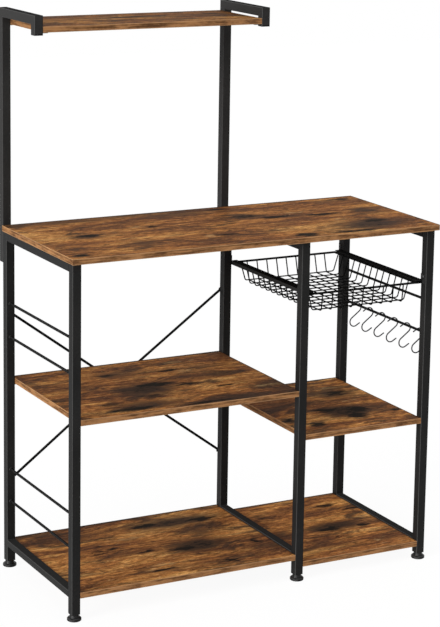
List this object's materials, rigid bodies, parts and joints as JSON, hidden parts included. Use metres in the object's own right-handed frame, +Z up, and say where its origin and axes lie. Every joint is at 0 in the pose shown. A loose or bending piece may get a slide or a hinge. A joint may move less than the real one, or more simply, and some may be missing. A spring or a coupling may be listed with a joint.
{
  "type": "kitchen rack",
  "caption": "Free-standing kitchen rack with a worktop, open shelves on welded tube frames, a raised top shelf, a pull-out wire basket and hanging hooks.",
  "frame": {"origin": "on the floor, under the middle of the rack's overall width and depth", "axes": "+Z up, +X to the right and -Y to the front as a person faces the rack"},
  "size_m": [0.901, 0.4158, 1.269],
  "materials": {
    "rustic_board": "matte wood grain",
    "black_steel": "satin powder coat",
    "basket_wire": "satin powder coat",
    "hook_steel": "dark satin",
    "black_plastic": "matte",
    "black_screw": "black oxide",
    "zinc_steel": "zinc plated"
  },
  "bodies": {
    "rack": {"basket_left_rail": "black_steel", "basket_right_rail": "black_steel", "bottom_left_shelf": "rustic_board", "bottom_right_shelf": "rustic_board", "brace_bar_front": "black_steel", "brace_bar_rear": "black_steel", "bracket_end_caps": "black_plastic", "frame_screws": "black_screw", "hook_rod": "black_steel", "left_bottom_rail": "black_steel", "left_front_leg": "black_steel", "left_guard_rods": "black_steel", "left_hutch_arm": "black_steel", "left_hutch_nose": "black_steel", "left_hutch_post": "black_steel", "left_rear_leg": "black_steel", "left_top_rail": "black_steel", "leg_inserts": "black_plastic", "middle_bottom_rail": "black_steel", "middle_front_leg": "black_steel", "middle_left_shelf": "rustic_board", "middle_rear_leg": "black_steel", "middle_right_shelf": "rustic_board", "middle_top_rail": "black_steel", "post_bolts": "black_screw", "press_nuts": "zinc_steel", "right_bottom_rail": "black_steel", "right_front_leg": "black_steel", "right_guard_rod": "black_steel", "right_hutch_arm": "black_steel", "right_hutch_nose": "black_steel", "right_hutch_post": "black_steel", "right_rear_leg": "black_steel", "right_top_rail": "black_steel", "shelf_lugs": "black_steel", "shelf_screws": "zinc_steel", "top_shelf": "rustic_board", "worktop": "rustic_board", "worktop_screws": "zinc_steel"},
    "basket": {"basket_rim": "basket_wire", "basket_cross_wires": "basket_wire", "basket_long_wires": "basket_wire"},
    "hook_1": {"s_hook_1": "hook_steel"},
    "hook_2": {"s_hook_2": "hook_steel"},
    "hook_3": {"s_hook_3": "hook_steel"},
    "hook_4": {"s_hook_4": "hook_steel"},
    "hook_5": {"s_hook_5": "hook_steel"},
    "hook_6": {"s_hook_6": "hook_steel"},
    "left_front_foot": {"left_front_foot_pad": "black_plastic", "left_front_foot_stud": "zinc_steel"},
    "left_rear_foot": {"left_rear_foot_pad": "black_plastic", "left_rear_foot_stud": "zinc_steel"},
    "middle_front_foot": {"middle_front_foot_pad": "black_plastic", "middle_front_foot_stud": "zinc_steel"},
    "middle_rear_foot": {"middle_rear_foot_pad": "black_plastic", "middle_rear_foot_stud": "zinc_steel"},
    "right_front_foot": {"right_front_foot_pad": "black_plastic", "right_front_foot_stud": "zinc_steel"},
    "right_rear_foot": {"right_rear_foot_pad": "black_plastic", "right_rear_foot_stud": "zinc_steel"}
  },
  "joints": [
    {"name": "basket_slide", "type": "slide", "parent": "rack", "child": "basket", "axis": [0, -1, 0], "range_m": [0, 0.28]},
    {"name": "hook_1_swing", "type": "hinge", "parent": "rack", "child": "hook_1", "pos_m": [0.435, 0.1106, 0.5365], "axis": [0, 1, 0], "range_deg": [-45, 45]},
    {"name": "hook_2_swing", "type": "hinge", "parent": "rack", "child": "hook_2", "pos_m": [0.435, 0.0566, 0.5365], "axis": [0, 1, 0], "range_deg": [-45, 45]},
    {"name": "hook_3_swing", "type": "hinge", "parent": "rack", "child": "hook_3", "pos_m": [0.435, 0.0026, 0.5365], "axis": [0, 1, 0], "range_deg": [-45, 45]},
    {"name": "hook_4_swing", "type": "hinge", "parent": "rack", "child": "hook_4", "pos_m": [0.435, -0.0514, 0.5365], "axis": [0, 1, 0], "range_deg": [-45, 45]},
    {"name": "hook_5_swing", "type": "hinge", "parent": "rack", "child": "hook_5", "pos_m": [0.435, -0.1054, 0.5365], "axis": [0, 1, 0], "range_deg": [-45, 45]},
    {"name": "hook_6_swing", "type": "hinge", "parent": "rack", "child": "hook_6", "pos_m": [0.435, -0.1594, 0.5365], "axis": [0, 1, 0], "range_deg": [-45, 45]},
    {"name": "left_front_foot_height", "type": "slide", "parent": "rack", "child": "left_front_foot", "axis": [0, 0, -1], "range_m": [0, 0.01]},
    {"name": "left_rear_foot_height", "type": "slide", "parent": "rack", "child": "left_rear_foot", "axis": [0, 0, -1], "range_m": [0, 0.01]},
    {"name": "middle_front_foot_height", "type": "slide", "parent": "rack", "child": "middle_front_foot", "axis": [0, 0, -1], "range_m": [0, 0.01]},
    {"name": "middle_rear_foot_height", "type": "slide", "parent": "rack", "child": "middle_rear_foot", "axis": [0, 0, -1], "range_m": [0, 0.01]},
    {"name": "right_front_foot_height", "type": "slide", "parent": "rack", "child": "right_front_foot", "axis": [0, 0, -1], "range_m": [0, 0.01]},
    {"name": "right_rear_foot_height", "type": "slide", "parent": "rack", "child": "right_rear_foot", "axis": [0, 0, -1], "range_m": [0, 0.01]}
  ]
}
